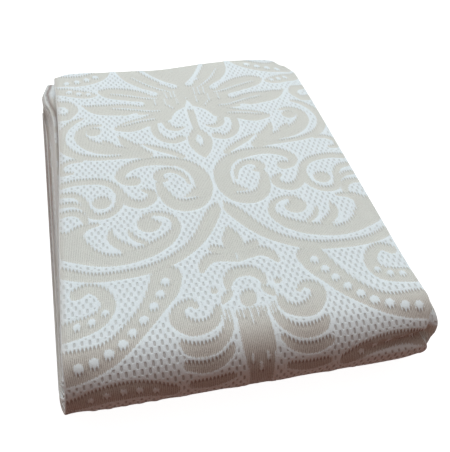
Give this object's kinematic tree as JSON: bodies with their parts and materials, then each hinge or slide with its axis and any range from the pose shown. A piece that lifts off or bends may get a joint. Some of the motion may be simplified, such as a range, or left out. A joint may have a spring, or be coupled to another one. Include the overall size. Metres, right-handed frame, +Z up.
{
  "type": "folded jacquard bedspread",
  "caption": "Bedspread of ribbed cotton jacquard in white and greige scrollwork, folded into a long pack with its last fold rounded at the front.",
  "frame": {"origin": "on the surface the pack lies on, under the middle of its box", "axes": "+Y from the last fold, at the front, to the small folds and hems at the back; +X to the right as seen from the front; +Z up through the layers"},
  "size_m": [0.3456, 0.459, 0.068],
  "materials": {
    "jacquard_cloth": "matt bleached white cotton with greige figuring, ribbed along the pack"
  },
  "bodies": {
    "root": {"bedspread": "jacquard_cloth"}
  },
  "joints": []
}
